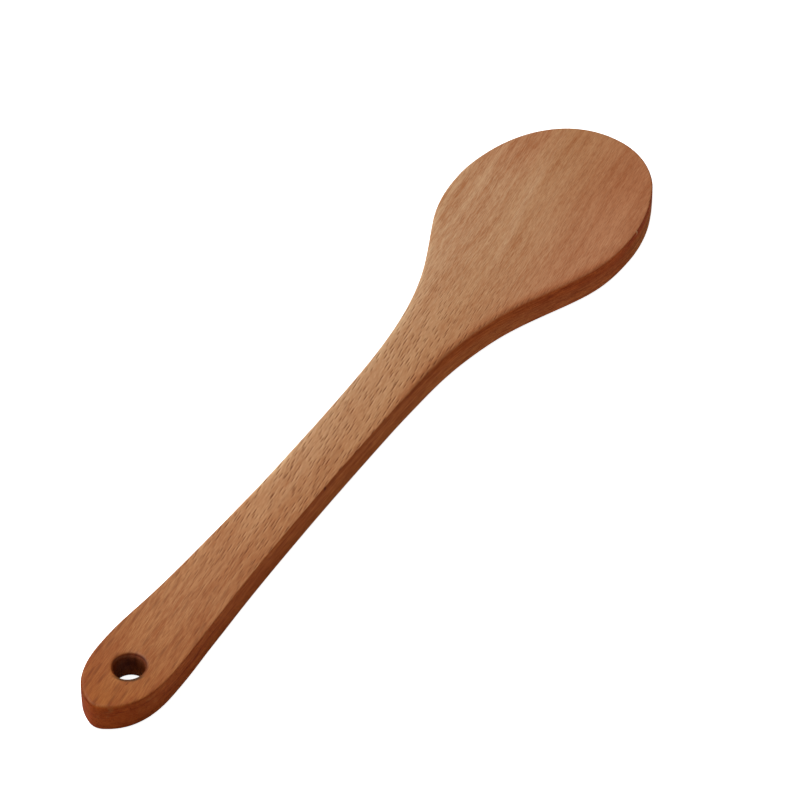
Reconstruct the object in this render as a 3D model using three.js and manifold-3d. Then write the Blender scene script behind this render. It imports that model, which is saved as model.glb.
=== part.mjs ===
// Flat wooden cooking spatula, cut in one piece from a single beech board.
// Millimetres, +Z up. The board lies on its underside at z = 0, centred on the origin.
// The tail of the handle points to -X and the round end of the blade to +X.
// The outline is the same on both sides of y = 0.
import * as THREE from "three";
import { mergeVertices } from "three/addons/utils/BufferGeometryUtils.js";
import ManifoldModule from "manifold-3d";

// Board
const overallLength = 300;
const boardThickness = 9.4;
const edgeRadius = 0.8;

// Blade: its widest place, and how far that is from the blade's end
const bladeWidth = 64.2;
const bladeWidestFromEnd = 42.5;

// Handle: its narrowest place, and how far that is from the tail tip
const waistWidth = 17.4;
const waistFromTip = 147.2;

// Tail: the swell around the hanging hole, and the small round nose at the tip
const tailWidth = 25.2;
const tailWidestFromTip = 21.7;
const noseRadius = 5.3;
const noseHalfAngle = THREE.MathUtils.degToRad(28.5);

// Hanging hole, drilled right through the swell, its rims sanded round
const holeDiameter = 9.4;
const holeFromTip = 18.3;
const holeRimRadius = 1.2;
const holeRimSweep = THREE.MathUtils.degToRad(80);
const drillOvershoot = 2;

// How far each curve keeps its end direction, as a share of the run it covers
const tailCurve = { leaving: 0.43, arriving: 0.69 };
const gripCurve = { leaving: 0.19, arriving: 0.82 };
const neckCurve = { leaving: 0.72, arriving: 0.34 };
const bladeCurve = { leaving: 0.46, arriving: 0.68 };

// Fineness of the facets
const pointsPerCurve = 18;
const edgeFacets = 4;
const holeFacets = 40;

// Half of the outline, from the tail tip at x = 0 to the blade's end, as Bezier stretches
function halfOutline() {
  const tail = new THREE.Vector2(tailWidestFromTip, tailWidth / 2);
  const waist = new THREE.Vector2(waistFromTip, waistWidth / 2);
  const blade = new THREE.Vector2(overallLength - bladeWidestFromEnd, bladeWidth / 2);
  const end = new THREE.Vector2(overallLength, 0);
  const noseRise = Math.sin(noseHalfAngle);
  const noseRun = Math.cos(noseHalfAngle);
  const nose = new THREE.Vector2(noseRadius * (1 - noseRun), noseRadius * noseRise);

  const noseReach = tailCurve.leaving * (tail.y - nose.y);
  const leaveNose = new THREE.Vector2(noseRise, noseRun).multiplyScalar(noseReach).add(nose);
  const stretches = [
    {
      from: nose,
      leave: leaveNose,
      arrive: new THREE.Vector2(tail.x - tailCurve.arriving * (tail.x - nose.x), tail.y),
      to: tail,
    },
    alongHandle(tail, waist, gripCurve),
    alongHandle(waist, blade, neckCurve),
    {
      from: blade,
      leave: new THREE.Vector2(blade.x + bladeCurve.leaving * (end.x - blade.x), blade.y),
      arrive: new THREE.Vector2(end.x, bladeCurve.arriving * blade.y),
      to: end,
    },
  ];
  return stretches;
}

// A stretch that is parallel to the handle at both of its ends
function alongHandle(from, to, curve) {
  const run = to.x - from.x;
  const leave = new THREE.Vector2(from.x + curve.leaving * run, from.y);
  const arrive = new THREE.Vector2(to.x - curve.arriving * run, to.y);
  return { from, leave, arrive, to };
}

// The whole outline: out along +Y, back along -Y, and round the nose
function boardShape() {
  const half = halfOutline();
  const shape = new THREE.Shape();
  shape.moveTo(half[0].from.x, half[0].from.y);
  for (const s of half) {
    shape.bezierCurveTo(s.leave.x, s.leave.y, s.arrive.x, s.arrive.y, s.to.x, s.to.y);
  }
  for (const s of half.slice().reverse()) {
    shape.bezierCurveTo(s.arrive.x, -s.arrive.y, s.leave.x, -s.leave.y, s.from.x, -s.from.y);
  }
  shape.absarc(noseRadius, 0, noseRadius, Math.PI + noseHalfAngle, Math.PI - noseHalfAngle, true);
  return shape;
}

// The board with its edges rounded all the way round, before drilling
function boardBlank() {
  const blank = new THREE.ExtrudeGeometry(boardShape(), {
    depth: boardThickness - 2 * edgeRadius,
    curveSegments: pointsPerCurve,
    bevelEnabled: true,
    bevelThickness: edgeRadius,
    bevelSize: edgeRadius,
    bevelOffset: -edgeRadius,
    bevelSegments: edgeFacets,
  });
  blank.translate(0, 0, edgeRadius);
  return blank;
}

// What the drill and the sandpaper take out: a straight bore that flares at both faces
function holeCutter() {
  const bore = holeDiameter / 2;
  const mouth = bore + holeRimRadius;
  const flare = (face, side) => {
    const points = [];
    for (let i = 0; i <= edgeFacets; i += 1) {
      const a = (holeRimSweep * i) / edgeFacets;
      const r = mouth - holeRimRadius * Math.cos(a);
      points.push(new THREE.Vector2(r, face - side * holeRimRadius * (1 - Math.sin(a))));
    }
    return points;
  };
  const profile = [
    new THREE.Vector2(0, -drillOvershoot),
    new THREE.Vector2(mouth, -drillOvershoot),
    ...flare(0, -1).reverse(),
    ...flare(boardThickness, 1),
    new THREE.Vector2(mouth, boardThickness + drillOvershoot),
    new THREE.Vector2(0, boardThickness + drillOvershoot),
  ];
  const cutter = new THREE.LatheGeometry(profile, holeFacets);
  cutter.rotateX(Math.PI / 2);
  cutter.translate(holeFromTip, 0, 0);
  return cutter;
}

const solids = await ManifoldModule();
solids.setup();

// A closed solid from a geometry's triangles
function toSolid(geometry) {
  const bare = new THREE.BufferGeometry();
  bare.setAttribute("position", geometry.getAttribute("position"));
  bare.setIndex(geometry.getIndex());
  const welded = mergeVertices(bare, 1e-4);
  return new solids.Manifold(
    new solids.Mesh({
      numProp: 3,
      vertProperties: new Float32Array(welded.getAttribute("position").array),
      triVerts: new Uint32Array(welded.getIndex().array),
    }),
  );
}

// A geometry from a solid's triangles
function toGeometry(solid) {
  const mesh = solid.getMesh();
  const geometry = new THREE.BufferGeometry();
  geometry.setAttribute("position", new THREE.BufferAttribute(mesh.vertProperties, mesh.numProp));
  geometry.setIndex(new THREE.BufferAttribute(mesh.triVerts, 1));
  geometry.computeVertexNormals();
  return geometry;
}

const beech = new THREE.MeshStandardMaterial({ color: 0xac7c58, roughness: 0.55, metalness: 0 });
beech.name = "beech";

const body = toGeometry(toSolid(boardBlank()).subtract(toSolid(holeCutter())));
body.translate(-overallLength / 2, 0, 0);

const spatulaBody = new THREE.Mesh(body, beech);
spatulaBody.name = "spatula_body";

const spatula = new THREE.Group();
spatula.name = "wooden_spatula";
spatula.add(spatulaBody);

export default spatula;
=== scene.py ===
# Wooden spatula: one board of oiled beech, lying on a pale studio floor.
import math

import bmesh
import bpy
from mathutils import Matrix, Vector, noise
from mathutils.geometry import interpolate_bezier


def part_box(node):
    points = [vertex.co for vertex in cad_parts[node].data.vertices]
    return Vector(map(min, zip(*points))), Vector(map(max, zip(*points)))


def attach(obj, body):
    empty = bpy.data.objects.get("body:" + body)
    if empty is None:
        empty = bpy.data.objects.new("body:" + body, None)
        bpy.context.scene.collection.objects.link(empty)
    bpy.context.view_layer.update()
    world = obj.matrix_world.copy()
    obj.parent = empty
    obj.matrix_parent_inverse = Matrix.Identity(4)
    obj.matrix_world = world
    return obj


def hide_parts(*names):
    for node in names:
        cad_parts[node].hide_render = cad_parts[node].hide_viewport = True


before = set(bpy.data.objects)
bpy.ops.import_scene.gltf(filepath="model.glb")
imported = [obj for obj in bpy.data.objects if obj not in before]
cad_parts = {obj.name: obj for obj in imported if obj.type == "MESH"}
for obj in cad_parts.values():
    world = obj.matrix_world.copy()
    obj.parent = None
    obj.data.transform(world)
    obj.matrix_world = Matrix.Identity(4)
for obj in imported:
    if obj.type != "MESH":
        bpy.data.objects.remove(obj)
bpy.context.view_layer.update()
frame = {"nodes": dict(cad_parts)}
print("frame loaded:", ", ".join(frame["nodes"]))

mm = 0.001


class Wire:
    # a node socket that takes part in sums: each operator adds a Math node
    def __init__(self, tree, socket=None):
        self.tree = tree
        self.socket = socket

    def node(self, kind, settings, sockets, output=0):
        made = self.tree.nodes.new(kind)
        for name, value in settings.items():
            setattr(made, name, value)
        for key, value in sockets.items():
            if isinstance(value, Wire):
                self.tree.links.new(value.socket, made.inputs[key])
            else:
                made.inputs[key].default_value = value
        return Wire(self.tree, made.outputs[output])

    def math(self, operation, *values):
        return self.node("ShaderNodeMath", {"operation": operation}, dict(enumerate(values)))

    def __add__(self, other):
        return self.math("ADD", self, other)

    def __radd__(self, other):
        return self.math("ADD", other, self)

    def __sub__(self, other):
        return self.math("SUBTRACT", self, other)

    def __rsub__(self, other):
        return self.math("SUBTRACT", other, self)

    def __mul__(self, other):
        return self.math("MULTIPLY", self, other)

    def __rmul__(self, other):
        return self.math("MULTIPLY", other, self)

    def __truediv__(self, other):
        return self.math("DIVIDE", self, other)

    def __rtruediv__(self, other):
        return self.math("DIVIDE", other, self)

    def __pow__(self, other):
        return self.math("POWER", self, other)

    def __rpow__(self, other):
        return self.math("POWER", other, self)

    # 0 at low, 1 at high, smooth between and level outside; low may be the larger
    def ramp(self, low, high):
        limits = {"Value": self, "From Min": low, "From Max": high}
        return self.node("ShaderNodeMapRange", {"interpolation_type": "SMOOTHSTEP"}, limits)

    # the first colour where this value is 0, the second where it is 1
    def blend(self, first, second):
        return self.node("ShaderNodeMix", {"data_type": "RGBA"}, {0: self, 6: first, 7: second}, 2)

    # vector sums, for places and for colours
    def vector(self, operation, *values):
        return self.node("ShaderNodeVectorMath", {"operation": operation}, dict(enumerate(values)))

    def parts(self):
        return [self.node("ShaderNodeSeparateXYZ", {}, {0: self}, i) for i in range(3)]


# The board

board = {
    "node": "spatula_body",
    "bladeWidestFromEnd": 42.5 * mm,
    "waistWidth": 17.4 * mm,
    "waistFromTip": 147.2 * mm,
    "tailWidth": 25.2 * mm,
    "tailWidestFromTip": 21.7 * mm,
    "noseRadius": 5.3 * mm,
    "noseHalfAngle": math.radians(28.5),
    # the Bezier handles at the start and the end of each stretch, as shares of its size
    "tailCurve": (0.43, 0.69),
    "gripCurve": (0.19, 0.82),
    "neckCurve": (0.72, 0.34),
    "bladeCurve": (0.46, 0.68),
    "pointsPerCurve": {"nose": 8, "tail": 22, "grip": 70, "neck": 72, "blade": 44},
    "holeDiameter": 9.4 * mm,
    "holeFromTip": 18.3 * mm,
    "holePoints": 80,
    "holeRimTop": (1.0 * mm, 1.7 * mm),  # its rounding where the sanding strokes left it and met it
    "holeRimUnder": (1.1 * mm, 1.4 * mm),
    "strokeTurn": math.radians(30),
    "strokeLean": 0.55,  # on the near side more of the rim is gone to the left of the strokes
    # how far the sander rounded the upper edge on each side, at distances from the tail tip in mm
    "roundingNear": [(0, 1.3), (12, 0.65), (30, 0.4), (120, 0.42), (150, 0.5), (178, 2.4),
                     (200, 1.65), (238, 1.65), (252, 0.65), (300, 0.6)],
    "roundingFar": [(0, 1.0), (30, 0.5), (300, 0.5)],
    "roundingVaries": 0.22,  # by up to this share from place to place
    "roundingUnder": 0.8 * mm,
    # how far the saw strayed outwards from the drawn line on each side, at the same distances
    "strayNear": [(0, 0), (28, -0.17), (38, -0.17), (54, 0.11), (128, 0), (160, 0.08),
                  (181, -0.27), (200, -0.08), (220, 0.28), (236, 0.13), (258, -0.2),
                  (279, -0.25), (288, 0.1), (300, 0)],
    "strayFar": [(0, 0), (28, 0.1), (46, -0.2), (78, -0.12), (100, -0.28), (128, -0.05),
                 (160, 0.35), (215, 0.3), (232, 0), (258, -0.03), (272, -0.27),
                 (290, -0.22), (300, 0)],
    "edgeSteps": 7,
    "wallCrown": 0.06 * mm,
    "sanding": 0.08 * mm,
    "sandingWave": 22 * mm,
    "sandingShift": Vector((9, 4, 2)),  # so that it doesn't follow the rounding's waves
    # how the wear of the edge, and the far edge's painted highlight, fade onto the faces: distance
    # from the rounding, share left
    "wearFade": [(0.7 * mm, 0.75), (1.6 * mm, 0.5), (2.5 * mm, 0.25), (3.4 * mm, 0.0)],
    "holeMargin": 0.7 * mm,
    "weld": 0.001 * mm,
}
boardLow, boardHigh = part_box(board["node"])
halfThick = (boardHigh.z - boardLow.z) / 2
holeCentre = Vector((boardLow.x + board["holeFromTip"], 0, 0))
holeRadius = board["holeDiameter"] / 2
rimWidth = max(board["holeRimTop"])


# the +Y side of the outline as Bezier stretches, from the tail tip to the end of the blade
def halfOutline(plan):
    tip = Vector((boardLow.x, 0, 0))
    end = Vector((boardHigh.x, 0, 0))
    blade = Vector((boardHigh.x - plan["bladeWidestFromEnd"], boardHigh.y, 0))
    waist = Vector((boardLow.x + plan["waistFromTip"], plan["waistWidth"] / 2, 0))
    tail = Vector((boardLow.x + plan["tailWidestFromTip"], plan["tailWidth"] / 2, 0))
    lengthways = Vector((1, 0, 0))
    sideways = Vector((0, 1, 0))

    # the nose is an arc, and the tail leaves it on its tangent
    radius = plan["noseRadius"]
    turn = plan["noseHalfAngle"]
    tangent = Vector((math.sin(turn), math.cos(turn), 0))
    nose = tip + radius * Vector((1 - math.cos(turn), math.sin(turn), 0))
    arcHandle = radius * math.tan(turn / 4) * 4 / 3

    def levelStretch(start, finish, shares):
        run = (finish.x - start.x) * lengthways
        return start, start + shares[0] * run, finish - shares[1] * run, finish

    leaving, arriving = plan["tailCurve"]
    leaveNose = nose + leaving * (tail.y - nose.y) * tangent
    reachTail = tail - arriving * (tail.x - nose.x) * lengthways
    leaving, arriving = plan["bladeCurve"]
    leaveBlade = blade + leaving * (end.x - blade.x) * lengthways
    reachEnd = end + arriving * blade.y * sideways
    return {
        "nose": (tip, tip + arcHandle * sideways, nose - arcHandle * tangent, nose),
        "tail": (nose, leaveNose, reachTail, tail),
        "grip": levelStretch(tail, waist, plan["gripCurve"]),
        "neck": levelStretch(waist, blade, plan["neckCurve"]),
        "blade": (blade, leaveBlade, reachEnd, end),
    }


# places round the whole outline, clockwise from the tail tip, each with its outward direction
def wholeOutline(plan):
    side = []
    for name, stretch in halfOutline(plan).items():
        side += interpolate_bezier(*stretch, plan["pointsPerCurve"][name] + 1)[:-1]
    side.append(stretch[-1])
    places = side + [Vector((p.x, -p.y, 0)) for p in reversed(side[1:-1])]
    stations = []
    for i, place in enumerate(places):
        way = places[(i + 1) % len(places)] - places[i - 1]
        stations.append((place, Vector((-way.y, way.x, 0)).normalized()))
    return stations


# a value that changes smoothly from one mark to the next along the board
def smoothAt(marks, place):
    distance = (place.x - boardLow.x) / mm
    for (startAt, startValue), (endAt, endValue) in zip(marks, marks[1:]):
        if distance <= endAt:
            share = max(0.0, (distance - startAt) / (endAt - startAt))
            share = share * share * (3 - 2 * share)
            return (startValue + (endValue - startValue) * share) * mm
    return marks[-1][1] * mm


# a closed ring whose vertices remember their number
def newRing(bm, tag, count, place):
    ring = bmesh.ops.create_circle(bm, segments=count, radius=1)["verts"]
    for i, vert in enumerate(ring):
        vert[tag] = i
        vert.co = place(i)
    return list(dict.fromkeys(edge for vert in ring for edge in vert.link_edges))


# pull a rim on by one step, each new vertex to the place for its number
def pullRim(bm, rim, tag, wear, share, place):
    pulled = bmesh.ops.extrude_edge_only(bm, edges=rim)["geom"]
    fresh = {g for g in pulled if isinstance(g, bmesh.types.BMVert)}
    for vert in fresh:
        vert.co = place(vert[tag])
        vert[wear] = share
    edges = [g for g in pulled if isinstance(g, bmesh.types.BMEdge)]
    return [e for e in edges if e.verts[0] in fresh and e.verts[1] in fresh]


# from the middle of the wall over the rounded edge onto the face:
# share of the half wall, angle of the rounding, margin on the face, wear
def edgeSteps(plan, margins):
    steps = [(0.5, 0.0, 0.0, 1.0), (1.0, 0.0, 0.0, 1.0)]
    for i in range(1, plan["edgeSteps"] + 1):
        steps.append((1.0, math.pi / 2 * i / plan["edgeSteps"], 0.0, 1.0))
    for margin, share in margins:
        steps.append((1.0, math.pi / 2, margin, share))
    return steps


def makeBoard(plan):
    stations = wholeOutline(plan)
    bm = bmesh.new()
    tag = bm.verts.layers.int.new("station")
    wear = bm.verts.layers.float.new("wear")
    outerSteps = edgeSteps(plan, plan["wearFade"])
    holeSteps = edgeSteps(plan, [(plan["holeMargin"], 0.0)])

    # sanding takes wood away a little unevenly
    def edgePlace(i, side, wall, angle, margin):
        place, outward = stations[i]
        hand = "Near" if place.y < 0 else "Far"
        wave = place / plan["sandingWave"]
        rounding = plan["roundingUnder"]
        if side > 0:
            rounding = smoothAt(plan["rounding" + hand], place)
            rounding *= 1 + plan["roundingVaries"] * noise.noise(wave)
        inset = plan["sanding"] * (1 + noise.noise(wave + plan["sandingShift"])) / 2
        inset += plan["wallCrown"] * wall * wall + rounding * (1 - math.cos(angle)) + margin
        inset -= smoothAt(plan["stray" + hand], place)
        height = (halfThick - rounding) * wall + rounding * math.sin(angle)
        return place - outward * inset + Vector((0, 0, halfThick + side * height))

    # the rim of the hole is rounded most where the sanding strokes met it
    def holePlace(i, side, wall, angle, margin):
        turn = 2 * math.pi * i / plan["holePoints"]
        least, most = plan["holeRimTop"] if side > 0 else plan["holeRimUnder"]
        turned = turn - plan["strokeTurn"]
        rim = least + (most - least) * max(0.0, math.cos(turned)) ** 2
        if side > 0:
            rim *= 1 + plan["strokeLean"] * math.sin(turned) * max(0.0, -math.cos(turned))
        reach = holeRadius + rim * (1 - math.cos(angle)) + margin
        height = halfThick + side * ((halfThick - rim) * wall + rim * math.sin(angle))
        return holeCentre + Vector((reach * math.cos(turn), reach * math.sin(turn), height))

    outerRing = newRing(bm, tag, len(stations), lambda i: edgePlace(i, 1, 0, 0, 0))
    holeRing = newRing(bm, tag, plan["holePoints"], lambda i: holePlace(i, 1, 0, 0, 0))
    walls = ((outerRing, outerSteps, edgePlace), (holeRing, holeSteps, holePlace))
    for side in (1, -1):
        rims = []
        for rim, steps, placing in walls:
            for wall, angle, margin, share in steps:
                rim = pullRim(bm, rim, tag, wear, share,
                              lambda i: placing(i, side, wall, angle, margin))
            rims += rim
        bmesh.ops.triangle_fill(bm, use_beauty=True, edges=rims)
    bmesh.ops.remove_doubles(bm, verts=bm.verts, dist=plan["weld"])
    bmesh.ops.recalc_face_normals(bm, faces=bm.faces)
    for face in bm.faces:
        face.smooth = True

    mesh = bpy.data.meshes.new("spatulaBoard")
    bm.to_mesh(mesh)
    bm.free()
    piece = bpy.data.objects.new("spatulaBoard", mesh)
    bpy.context.scene.collection.objects.link(piece)
    return piece


# The beech

# lengths are in mm, and a pair of places or levels says where something sets in and where it is full
beech = {
    "lightWood": (0.43, 0.232, 0.120, 1),
    "tanWood": (0.40, 0.202, 0.096, 1),
    "pinkWood": (0.375, 0.157, 0.072, 1),
    # the tail's colour: part the wood's own, part painted shade where the sheen falls off
    "tailWood": (0.31, 0.089, 0.014, 1),
    "endSpeckle": (0.40, 0.155, 0.045, 1),
    "fibreLight": (1.20, 1.365, 1.50, 1),  # tints of the pale and the dark fibres
    "fibreDark": (0.775, 0.58, 0.45, 1),
    # tints that the colour is multiplied by
    "tints": {
        # pale fibres and flecks, and the painted highlight beside each bold fleck
        "pale": (1.24, 1.34, 1.42),
        "fleck": (0.24, 0.09, 0.01),
        "handle": (1.03, 1.015, 0.97),
        "wear": (0.78, 0.50, 0.33),  # where a hand darkens the edges
        "grip": (0.90, 0.82, 0.74),
        # the blade's end and near side: part the wood's own colour, part painted shade where the
        # sheen falls off
        "blade": (0.93, 0.85, 0.78),
        "farTail": (0.90, 0.78, 0.71),
        # a painted highlight on the rounding of the far edge
        "farEdgeHighlight": (1.25, 1.42, 1.55),
        # the near walls: part oil stain, part painted shade
        "wall": (0.90, 0.55, 0.31),
        "tail": (1.0, 1.02, 1.15),
        # the rounding at the nose: part end-grain stain, part painted shade
        "arris": (0.66, 0.6, 0.58),
        # painted shade in a band under the upper edge of the walls
        "upperWallShade": (0.98, 0.78, 0.58),
        "line": (0.74, 0.6, 0.5),
        # painted light from the floor, low on the wall at the blade's end
        "endWall": (1.08, 1.45, 1.6),
        # painted light from the floor, low on the near walls
        "wallFloorLight": (1.42, 1.6, 1.85),
        "endGrain": (1.26, 1.18, 1.2),
        "speck": (0.45, 0.35, 0.3),
        # the hole's rim: part stain, part painted shade
        "rim": (0.40, 0.20, 0.115),
        "lip": (0.34, 0.42, 0.5),  # darker round the rim on the hole's near side
        # the bore: part the walls' stain, part painted shade
        "bore": (0.58, 0.37, 0.2),
        # painted light on the bore's blade side near its top
        "borePaintedLight": (1.45, 1.9, 4.0),
        # painted light from the floor, low in the bore
        "boreFloorLight": (1.35, 1.7, 2.0),
        "boreShade": (0.55, 0.48, 0.42),
    },
    "grainTurn": math.radians(7),  # the grain runs a little across the handle
    "sway": 2.0,  # and wanders this far from side to side
    # noise in the grain: length, breadth and depth of its patches, detail, roughness
    "clouds": {
        "sway": ((60, 20, 30), 1.0, 0.5),
        "layers": ((160, 14, 9), 2.0, 0.5),
        "fibres": ((4.2, 0.46, 0.46), 2.0, 0.55),
        "hair": ((3.2, 0.2, 0.2), 2.0, 0.6),
        "streaks": ((20, 1.6, 1.6), 2.0, 0.5),
        "mottle": ((30, 7, 9), 2.0, 0.5),
        "smudges": ((2.4, 1.5, 1.5), 2.0, 0.5),
        "rings": ((70, 3.2, 3.2), 1.0, 0.5),
        "blotches": ((4.5, 2.2, 2.2), 1.0, 0.5),
        "wallLines": ((45, 5, 0.6), 2.0, 0.6),
        "wallFibres": ((5, 3, 0.36), 2.0, 0.6),
        "specks": ((1.3, 0.5, 0.5), 1.0, 0.5),
        "endSpeckle": ((2.4, 1.6, 1.4), 0.0, 0.5),
    },
    # levels of the noise
    "contrasts": {
        "fibres": (0.34, 0.66),
        "rings": (0.36, 0.64),
        "blotches": (0.42, 0.62),
        "wallLines": (0.5, 0.7),
        "darkFibres": (0.5, 0.66),
        "paleFibres": (0.5, 0.34),
        "specks": (0.72, 0.77),
        "endSpeckle": (0.5, 0.85),
    },
    # growth layers: their tilt across and down, unevenness, thickness and shading
    "layers": {"across": 0.2, "down": 0.98, "warp": 6.0, "thick": 2.6,
               "early": (0.0, 0.75), "late": (1.0, 0.85)},
    # ray flecks: the room that each one has, its half size, the share that show, its softness
    "flecks": {
        "bold": ((4.3, 1.02), (1.55, 0.115), 0.95, 0.2),
        "smear": ((7.5, 2.2), (2.8, 0.36), 0.8, 1.2),
        "fine": ((2.7, 0.62), (1.15, 0.085), 0.9, 0.4),
        "pale": ((2.4, 0.66), (1.0, 0.12), 0.9, 0.4),
    },
    "fleckScatter": 0.8,
    "fleckLengths": (0.7, 1.2),  # of the smallest and the largest, as shares
    "fleckBreadths": (0.8, 1.2),
    "fleckFull": 0.45,  # the share of those shown that have their full strength
    "rowShift": 0.62,  # each row of them starts this much further on
    "faceShift": 37.0,  # the upper face has other ones than the underside, from this far along
    "litEdge": 0.33,  # a painted highlight, a pale line, lies this far to the near side of each bold fleck
    "litBreadth": 1.7,  # and is this many times as broad
    # a pale streak in a curve across the blade, and redder wood beyond it
    "streak": {"from": 150, "run": 90, "offset": 4.5, "sweep": 7,
               "rise": (-2.4, -0.2), "fall": (2.2, 0.3), "redder": (1.5, 5)},
    # strengths along the grain, added up: how much, times each stretch over which it sets in
    "fades": {
        "farBlade": [(0.6, (50, 80))],
        "paleStreak": [(0.6, (55, 85))],
        "redEnd": [(0.4, (108, 132))],
        # the tail darkens: part the wood's own colour, part painted shade where the sheen falls off
        "tailDarkening": [(0.62, (30, -125)), (0.1, (-98, -122)), (0.25, (-118, -152))],
        "waist": [(0.2, (75, 20), (-70, -25))],
        "weave": [(0.48,), (0.22, (30, 80)), (0.22, (-85, -115)), (-0.12, (80, 115))],
        "calmEnd": [(0.16, (80, 115))],
        "streaks": [(0.12,), (0.16, (-10, -60))],
        "farStreaks": [(0.18, (60, 100))],
        "mottle": [(0.2,), (0.3, (-135, -105))],
        "rings": [(0.16, (40, 80))],
        "smudges": [(0.4, (80, 115))],
        "pale": [(0.3,), (0.35, (85, 40), (-140, -60))],
        "bold": [(0.15,), (0.84, (84, 18), (-125, -50))],
        "fine": [(0.26,), (-0.06, (105, 50), (-140, -60))],
        "smear": [(0.08,), (0.14, (40, -60)), (0.12, (-85, -115))],
        "tailEnd": [(1.0, (-118, -140))],
        "nearWear": [(0.35, (-60, -30), (110, 85)), (0.25, (-15, 15), (110, 85))],
        "grip": [(0.3, (20, -25))],
        "bladeEnd": [(0.85, (106, 146))],
        "bladeNear": [(0.5, (92, 118), (146, 125))],
        "farTail": [(1.0, (-112, -134))],
        "farEdgeHighlight": [(0.7, (-120, -80), (140, 90))],
        "farGrip": [(1.0, (-85, -45), (5, -45))],
        "upperWallShade": [(1.0, (-10, 40))],
        "arrisShadeLine": [(0.8, (-75, -35), (60, 20)), (0.48, (90, 105))],
        "endWall": [(1.0, (95, 112))],
        "wallFloorLight": [(0.25,), (0.75, (-10, 40))],
        "endSpeckle": [(0.3, (-118, -138))],
    },
    # stretches across the grain
    "breadths": {
        "tanWood": (-37, -7),
        "lightWood": (-9, 10),
        "farWood": (13.5, 27.5),
        "farBlade": (4, 18),
        "calmEnd": (4, -8),
        "farStreaks": (-12, 2),
        "farTail": (16.5, 24.5),
    },
    "nearSide": (1, -5),  # across the board
    # heights above the underside
    "heights": {
        "upperWallShade": (4.5, 7.4),
        "arrisShadeLine": (7.2, 8.2),
        "endWall": (8.0, 6.4),
        "wallFloorLight": (5.0, 1.0),
        "endSpeckle": (2.5, 6.5),
        "borePaintedLight": (5.4, 8.2),
        "boreFloorLight": (5.4, 2.0),
        "marks": (7.9, 8.5),
    },
    # parts of the surface's direction: upwards, to the tip, to the near side or along the grain
    "facings": {
        "wallUp": (0.95, 0.55),
        "edgeUp": (0.1, 0.4),
        "noseTip": (0.2, 0.6),
        "wallNear": (-0.6, 0.3),
        "arrisUp": (0.1, 0.5),
        "arrisNear": (0.3, -0.3),
        "endGrain": (0.45, 0.95),
        "rimUp": (0.97, 0.75),
    },
    # strengths that are the same all along the board
    "shares": {
        "farWood": 0.6,
        "fibres": 0.48,
        "hair": 0.42,
        "bands": 0.12,
        "tailWear": 0.1,
        "tailBlotches": 0.3,
        "wallFibres": 0.7,
        "boreShade": 0.8,
        "nick": 0.9,
    },
    # the hole, with distances outwards from its wall
    "bore": {
        "mouthMargin": 0.1,
        "mouthFade": 1.0,
        "rimFade": 0.3,
        "wall": (0.5, 0.0),
        "lip": (1.7, 1.0),
        "shaded": (1.2, 0.6),
        # distances from its middle towards one side, and two of these ways on the board
        "lipSide": (2.8, 5.0),
        "bladeSide": (-1, 4),
        "shadeSide": (1, 4.5),
        "lipWay": (-0.85, -0.52),
        "shadeWay": (0.52, -0.85),
    },
    # small marks from use: place on the board, half size
    "marks": {
        "nick": ((112.4, -31.8), (0.45, 0.8)),
        "edgeSpot": ((-39.75, -9.0), (0.8, 0.6)),
        "holeCheck": ((-137.8, -3.3), (0.9, 0.15)),
    },
    "markEdge": (1.2, 0.3),  # squares of the distance from its middle, in half sizes
    "roughness": {"all": 0.5, "fibres": 0.25, "flecks": 0.1, "walls": 0.35},
    "relief": {"fibres": 0.6, "hair": 0.3, "flecks": 0.7, "strength": 0.5, "depth": 0.05 * mm},
    "specular": 0.12,
}


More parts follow.
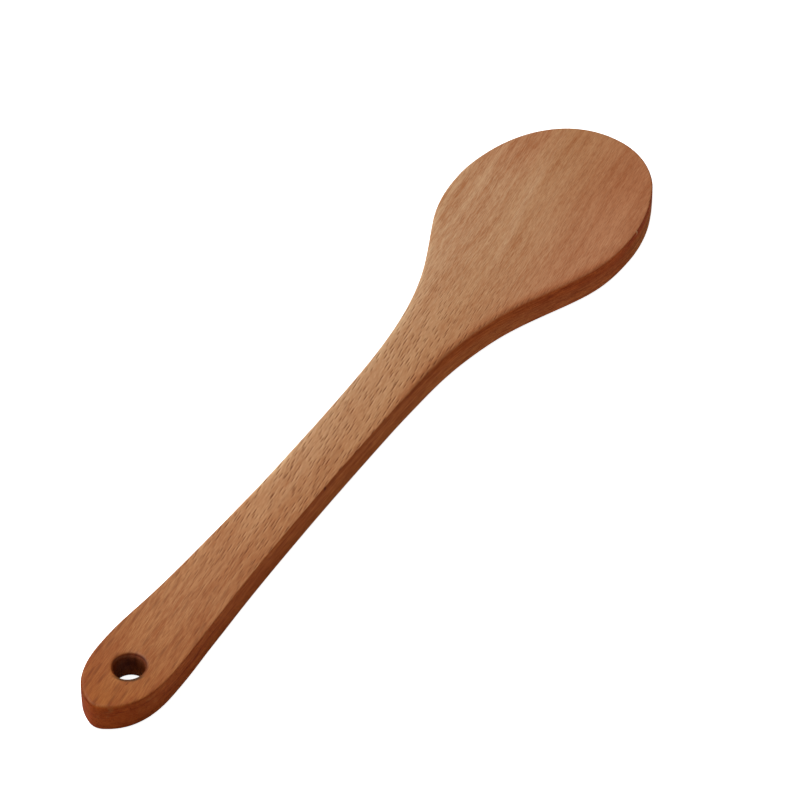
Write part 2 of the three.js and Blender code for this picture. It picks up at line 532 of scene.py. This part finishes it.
def oiledBeech(plan):
    material = bpy.data.materials.new("oiledBeech")
    material.use_nodes = True
    tree = material.node_tree
    shader = tree.nodes["Principled BSDF"]
    wire = Wire(tree)
    shares = plan["shares"]
    facings = plan["facings"]
    contrasts = plan["contrasts"]

    # places on the board in mm, and in the grain, which is turned a little
    coords = wire.node("ShaderNodeTexCoord", {}, {}, "Object")
    normal = wire.node("ShaderNodeTexCoord", {}, {}, "Normal")
    onBoard = coords.vector("MULTIPLY", coords, (1 / mm, 1 / mm, 1 / mm))
    turnToGrain = {"Rotation": (0, 0, -plan["grainTurn"])}
    grain = wire.node("ShaderNodeMapping", {}, {"Vector": onBoard, **turnToGrain})
    grainNormal = wire.node("ShaderNodeMapping", {}, {"Vector": normal, **turnToGrain})

    def cloud(name):
        lengths, detail, roughness = plan["clouds"][name]
        patches = grain.vector("DIVIDE", grain, lengths)
        sockets = {"Vector": patches, "Scale": 1.0, "Detail": detail, "Roughness": roughness}
        return wire.node("ShaderNodeTexNoise", {}, sockets)

    # the grain wanders a little from side to side
    sway = (cloud("sway") - 0.5) * plan["sway"]
    grain = grain.vector("ADD", grain, wire.node("ShaderNodeCombineXYZ", {}, {1: sway}))
    along, across, depth = grain.parts()

    def fade(name):
        terms = []
        for strength, *stretches in plan["fades"][name]:
            for stretch in stretches:
                strength = strength * along.ramp(*stretch)
            terms.append(strength)
        return sum(terms[1:], terms[0])

    def breadth(name):
        return across.ramp(*plan["breadths"][name])

    def height(name):
        return depth.ramp(*plan["heights"][name])

    # which way the surface faces, and how far it is from the wall of the bore
    endFacing, _, upFacing = [part.math("ABSOLUTE", part) for part in grainNormal.parts()]
    tipFacing, nearFacing, _ = [-1.0 * part for part in normal.parts()]
    boardX, boardY, _ = onBoard.parts()
    nearSide = boardY.ramp(*plan["nearSide"])
    bore = plan["bore"]
    boreX = boardX - holeCentre.x / mm
    boreReach = (boreX * boreX + boardY * boardY) ** 0.5 - holeRadius / mm
    mouth = rimWidth / mm + bore["mouthMargin"]
    wallShare = upFacing.ramp(*facings["wallUp"]) * boreReach.ramp(mouth, mouth + bore["mouthFade"])
    faceShare = 1 - wallShare

    # ray flecks: one spindle in each cell of a stretched Voronoi pattern, other ones underneath
    def flecks(name, widen=1.0, shift=0.0):
        (roomAlong, roomAcross), (halfLength, halfBreadth), shown, softness = plan["flecks"][name]
        upper = depth.math("GREATER_THAN", depth, halfThick / mm)
        row = across / roomAcross
        column = (along + plan["faceShift"] * upper) / roomAlong + plan["rowShift"] * row
        flat = wire.node("ShaderNodeCombineXYZ", {}, {0: column, 1: row})
        settings = {"voronoi_dimensions": "2D", "feature": "F1"}
        sockets = {"Vector": flat, "Scale": 1.0, "Randomness": plan["fleckScatter"]}
        centre = wire.node("ShaderNodeTexVoronoi", settings, sockets, "Position")
        dice = wire.node("ShaderNodeTexVoronoi", settings, sockets, "Color")
        lengthways, sideways, _ = flat.vector("SUBTRACT", flat, centre).parts()
        luck, size, _ = dice.parts()

        def sized(least, most):
            return least + (most - least) * size

        lengthways = (lengthways - plan["rowShift"] * sideways) * (roomAlong / halfLength)
        lengthways = lengthways / sized(*plan["fleckLengths"])
        sideways = (sideways + shift / roomAcross) * (roomAcross / halfBreadth / widen)
        sideways = sideways / sized(*plan["fleckBreadths"])
        reach = (lengthways * lengthways + sideways * sideways) ** 0.5
        spindle = reach.ramp(1 + softness / 2, 1 - softness / 2)
        return spindle * luck.ramp(1 - shown, 1 - shown * plan["fleckFull"]) * faceShare

    # growth layers lie nearly flat in the board and show as broad bands on the faces
    layers = plan["layers"]
    warp = (cloud("layers") - 0.5) * layers["warp"]
    layer = (across * layers["across"] + depth * layers["down"] + warp) / layers["thick"]
    layerShare = layer.math("FRACT", layer)
    bands = layerShare.ramp(*layers["early"]) * layerShare.ramp(*layers["late"])

    # colour across and along the board
    colour = breadth("tanWood").blend(plan["pinkWood"], plan["tanWood"])
    colour = breadth("lightWood").blend(colour, plan["lightWood"])
    farWood = breadth("farWood") * shares["farWood"] + breadth("farBlade") * fade("farBlade")
    colour = farWood.blend(colour, plan["tanWood"])
    streak = plan["streak"]
    bend = (streak["from"] - along) / streak["run"]
    beyond = across + streak["offset"] + streak["sweep"] * bend * bend
    paleStreak = beyond.ramp(*streak["rise"]) * beyond.ramp(*streak["fall"]) * fade("paleStreak")
    colour = paleStreak.blend(colour, plan["lightWood"])
    colour = (beyond.ramp(*streak["redder"]) * fade("redEnd")).blend(colour, plan["pinkWood"])
    # darker and redder towards the tail: part the wood's own colour, part painted shade where the
    # sheen falls off
    colour = fade("tailDarkening").blend(colour, plan["tailWood"])

    # darker fibres are also redder
    def clear(fibre):
        return fibre.ramp(*contrasts["fibres"]) - 0.5

    fibres = cloud("fibres")
    hair = cloud("hair")
    waist = fade("waist")
    weave = clear(fibres) * (shares["fibres"] - waist) + clear(hair) * (shares["hair"] + waist)
    weaveFade = fade("weave") - fade("calmEnd") * breadth("calmEnd")
    streakFade = fade("streaks") + fade("farStreaks") * breadth("farStreaks")
    tone = 0.5 + weave * weaveFade + clear(cloud("streaks")) * streakFade
    tone = tone + (cloud("mottle") - 0.5) * fade("mottle") + (bands - 0.5) * shares["bands"]
    tone = tone + (cloud("rings").ramp(*contrasts["rings"]) - 0.5) * fade("rings")
    tone = tone + (cloud("smudges") - 0.5) * fade("smudges")
    colour = colour.vector("MULTIPLY", colour, tone.blend(plan["fibreLight"], plan["fibreDark"]))

    def stained(name, share):
        return share.blend(colour, colour.vector("MULTIPLY", colour, plan["tints"][name]))

    # each bold fleck has a pale edge, a painted highlight where light catches the side of its groove
    boldFade = fade("bold")
    boldFlecks = flecks("bold")
    litEdges = flecks("bold", plan["litBreadth"], plan["litEdge"]) * (1 - boldFlecks) * boldFade
    colour = stained("pale", litEdges.math("MAXIMUM", litEdges, flecks("pale") * fade("pale")))
    fleckShare = boldFlecks * boldFade
    for name in ("fine", "smear"):
        fleckShare = fleckShare.math("MAXIMUM", fleckShare, flecks(name) * fade(name))
    colour = stained("fleck", fleckShare)
    colour = stained("handle", boldFade)

    # hands darken the near edge and the tail, the blade darkens towards its end and its near side,
    # part its own colour and part painted shade where the sheen falls off, and the far edge gets a
    # painted highlight
    tailEnd = fade("tailEnd")
    edgeWearAndHighlight = wire.node("ShaderNodeAttribute", {"attribute_name": "wear"}, {}, "Fac") ** 2.0
    blotches = cloud("blotches").ramp(*contrasts["blotches"])
    tailWear = tailEnd * (shares["tailWear"] + shares["tailBlotches"] * blotches)
    colour = stained("wear", edgeWearAndHighlight * faceShare * (nearSide * fade("nearWear") + tailWear))
    colour = stained("grip", nearSide * faceShare * fade("grip"))
    # the blade darker towards its end and near side: part the wood's own colour, part painted shade
    # where the sheen falls off
    colour = stained("blade", fade("bladeEnd") + nearSide * fade("bladeNear"))
    colour = stained("farTail", fade("farTail") * breadth("farTail"))
    # a painted highlight on the rounding of the far edge
    farEdgeHighlight = (1 - nearSide) * edgeWearAndHighlight * upFacing.ramp(*facings["edgeUp"])
    colour = stained("farEdgeHighlight", farEdgeHighlight * fade("farEdgeHighlight"))
    colour = stained("farEdgeHighlight", farEdgeHighlight * fade("farGrip"))

    # the near walls and the nose are darker and redder than the faces, part oil stain and part
    # painted shade; the band under the upper edge is painted shade, and painted light from the floor
    # lies low on the walls
    noseWall = tailEnd * tipFacing.ramp(*facings["noseTip"])
    nearWall = nearFacing.ramp(*facings["wallNear"])
    nearAndNoseWalls = wallShare * nearWall.math("MAXIMUM", nearWall, noseWall)
    # the near walls and the nose darker and redder: part oil stain, part painted shade
    colour = stained("wall", nearAndNoseWalls)
    colour = stained("tail", nearAndNoseWalls * tailEnd)
    arris = upFacing.ramp(*facings["arrisUp"]) * nearFacing.ramp(*facings["arrisNear"])
    # the rounding at the nose darker: part end-grain stain, part painted shade
    colour = stained("arris", wallShare * noseWall * arris)
    # painted shade in a band under the upper edge, and a darker painted line just under the rounding
    colour = stained("upperWallShade", nearAndNoseWalls * fade("upperWallShade") * height("upperWallShade"))
    colour = stained("line", nearAndNoseWalls * fade("arrisShadeLine") * height("arrisShadeLine"))
    # painted light from the floor, low on the near walls and most of all at the blade's end
    colour = stained("endWall", nearAndNoseWalls * fade("endWall") * height("endWall"))
    colour = stained("wallFloorLight", nearAndNoseWalls * fade("wallFloorLight") * height("wallFloorLight"))
    colour = stained("line", nearAndNoseWalls * cloud("wallLines").ramp(*contrasts["wallLines"]))
    wallFibres = cloud("wallFibres")
    fibreShare = nearAndNoseWalls * (1 - tailEnd) * shares["wallFibres"]
    colour = stained("line", fibreShare * wallFibres.ramp(*contrasts["darkFibres"]))
    colour = stained("pale", fibreShare * wallFibres.ramp(*contrasts["paleFibres"]))
    colour = stained("endGrain", endFacing.ramp(*facings["endGrain"]))
    colour = stained("speck", cloud("specks").ramp(*contrasts["specks"]) * wallShare)
    endSpeckle = cloud("endSpeckle").ramp(*contrasts["endSpeckle"]) * wallShare
    endSpeckle = endSpeckle * fade("endSpeckle") * height("endSpeckle")
    colour = endSpeckle.blend(colour, plan["endSpeckle"])

    # the drilled bore is stained like the walls and darkened further by painted shade, and its rim
    # is darkest, part stain and part painted shade
    def towards(way):
        return way[0] * boreX + way[1] * boardY

    boreShare = boreReach.ramp(*bore["wall"])
    # the rim darker: part stain, part painted shade
    rimShare = upFacing.ramp(*facings["rimUp"]) * boreReach.ramp(mouth + bore["rimFade"], mouth)
    # darker round the rim on the hole's near side
    lip = towards(bore["lipWay"]).ramp(*bore["lipSide"])
    colour = stained("rim", rimShare * (1 - boreShare) * (1 - lip))
    colour = stained("lip", lip * boreReach.ramp(*bore["lip"]))
    colour = stained("bore", boreShare)
    # painted light on the blade side of the bore near its top
    colour = stained("borePaintedLight", boreShare * boreX.ramp(*bore["bladeSide"]) * height("borePaintedLight"))
    # painted light from the floor, low in the bore
    colour = stained("boreFloorLight", boreShare * height("boreFloorLight"))
    boreShade = towards(bore["shadeWay"]).ramp(*bore["shadeSide"]) * boreReach.ramp(*bore["shaded"])
    colour = stained("boreShade", boreShade * shares["boreShade"])

    # marks from use on the upper face
    def mark(name):
        (placeX, placeY), (halfX, halfY) = plan["marks"][name]
        markX = (boardX - placeX) / halfX
        markY = (boardY - placeY) / halfY
        return (markX * markX + markY * markY).ramp(*plan["markEdge"]) * height("marks")

    colour = (mark("nick") * shares["nick"]).blend(colour, plan["lightWood"])
    colour = stained("speck", mark("edgeSpot"))
    colour = stained("speck", mark("holeCheck"))

    rough = plan["roughness"]
    roughness = rough["all"] + rough["fibres"] * (fibres - 0.5)
    roughness = roughness + rough["flecks"] * fleckShare + rough["walls"] * wallShare
    relief = plan["relief"]
    surface = fibres * relief["fibres"] + hair * relief["hair"] - fleckShare * relief["flecks"]
    sockets = {"Height": surface, "Strength": relief["strength"], "Distance": relief["depth"]}
    bump = wire.node("ShaderNodeBump", {}, sockets)

    tree.links.new(colour.socket, shader.inputs["Base Color"])
    tree.links.new(roughness.socket, shader.inputs["Roughness"])
    tree.links.new(bump.socket, shader.inputs["Normal"])
    shader.inputs["Specular IOR Level"].default_value = plan["specular"]
    return material


spatula = makeBoard(board)
spatula.data.materials.append(oiledBeech(beech))
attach(spatula, "root")
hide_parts(board["node"])
print("board made:", len(spatula.data.polygons), "faces")


# The studio

studio = {
    "floorSize": 8.0,
    "floorDrop": 0.2 * mm,
    "floorColour": (0.8, 0.8, 0.8, 1),
    "floorGlow": 0.94,  # the floor looks white without lighting the wood from below
    "backdrop": 1.0,
    "surroundings": 0.06,
    # softboxes: azimuth, height, distance, size, power, colour
    "softboxes": {
        "key": (math.radians(95), math.radians(55), 1.5, 1.2, 31.5, (1, 1, 1)),
        "warmFill": (math.radians(-72), math.radians(18), 1.6, 1.0, 5.5, (1, 0.82, 0.64)),
    },
}


def fromAngles(azimuth, height):
    level = math.cos(height)
    return Vector((level * math.cos(azimuth), level * math.sin(azimuth), math.sin(height)))


# a grey of one brightness to the camera and another to everything else
def cameraWhite(tree, glow, others):
    wire = Wire(tree)
    seen = wire.node("ShaderNodeLightPath", {}, {}, "Is Camera Ray")
    level = seen * (glow - others) + others
    return wire.node("ShaderNodeCombineColor", {}, {0: level, 1: level, 2: level})


def makeFloor(plan):
    bm = bmesh.new()
    bmesh.ops.create_grid(bm, x_segments=1, y_segments=1, size=plan["floorSize"] / 2)
    bmesh.ops.translate(bm, vec=(0, 0, -plan["floorDrop"]), verts=bm.verts)
    mesh = bpy.data.meshes.new("studioFloor")
    bm.to_mesh(mesh)
    bm.free()
    floor = bpy.data.objects.new("studioFloor", mesh)
    bpy.context.scene.collection.objects.link(floor)
    material = bpy.data.materials.new("paleFloor")
    material.use_nodes = True
    tree = material.node_tree
    shader = tree.nodes["Principled BSDF"]
    shader.inputs["Base Color"].default_value = plan["floorColour"]
    shader.inputs["Roughness"].default_value = 1.0
    shader.inputs["Specular IOR Level"].default_value = 0.0
    shader.inputs["Emission Strength"].default_value = 1.0
    glow = cameraWhite(tree, plan["floorGlow"], 0.0)
    tree.links.new(glow.socket, shader.inputs["Emission Color"])
    mesh.materials.append(material)


def makeLights(plan):
    for name, (azimuth, height, distance, size, power, colour) in plan["softboxes"].items():
        lamp = bpy.data.lights.new(name, "AREA")
        lamp.shape = "SQUARE"
        lamp.size = size
        lamp.energy = power
        lamp.color = colour
        softbox = bpy.data.objects.new(name, lamp)
        way = fromAngles(azimuth, height)
        softbox.location = way * distance
        softbox.rotation_euler = way.to_track_quat("Z", "Y").to_euler()
        bpy.context.scene.collection.objects.link(softbox)
    world = bpy.data.worlds.new("studioWorld")
    world.use_nodes = True
    background = world.node_tree.nodes["Background"]
    white = cameraWhite(world.node_tree, plan["backdrop"], plan["surroundings"])
    world.node_tree.links.new(white.socket, background.inputs["Color"])
    bpy.context.scene.world = world
    bpy.context.scene.view_settings.view_transform = "Standard"


# The camera stands at the photograph's angle

view = {
    "heading": math.radians(31.37),  # of the line of sight, from +X towards +Y
    "dip": math.radians(42.93),
    "distance": 1.3051,
    "target": Vector((9.19 * mm, -5.35 * mm, 4.7 * mm)),
    "lens": 190.19,
    "sensor": 36.0,
}


def makeCamera(plan):
    data = bpy.data.cameras.new("camera")
    data.lens = plan["lens"]
    data.sensor_width = plan["sensor"]
    camera = bpy.data.objects.new("camera", data)
    sight = fromAngles(plan["heading"], -plan["dip"])
    camera.location = plan["target"] - sight * plan["distance"]
    camera.rotation_euler = sight.to_track_quat("-Z", "Y").to_euler()
    bpy.context.scene.collection.objects.link(camera)
    bpy.context.scene.camera = camera


makeFloor(studio)
makeLights(studio)
makeCamera(view)
print("studio made")
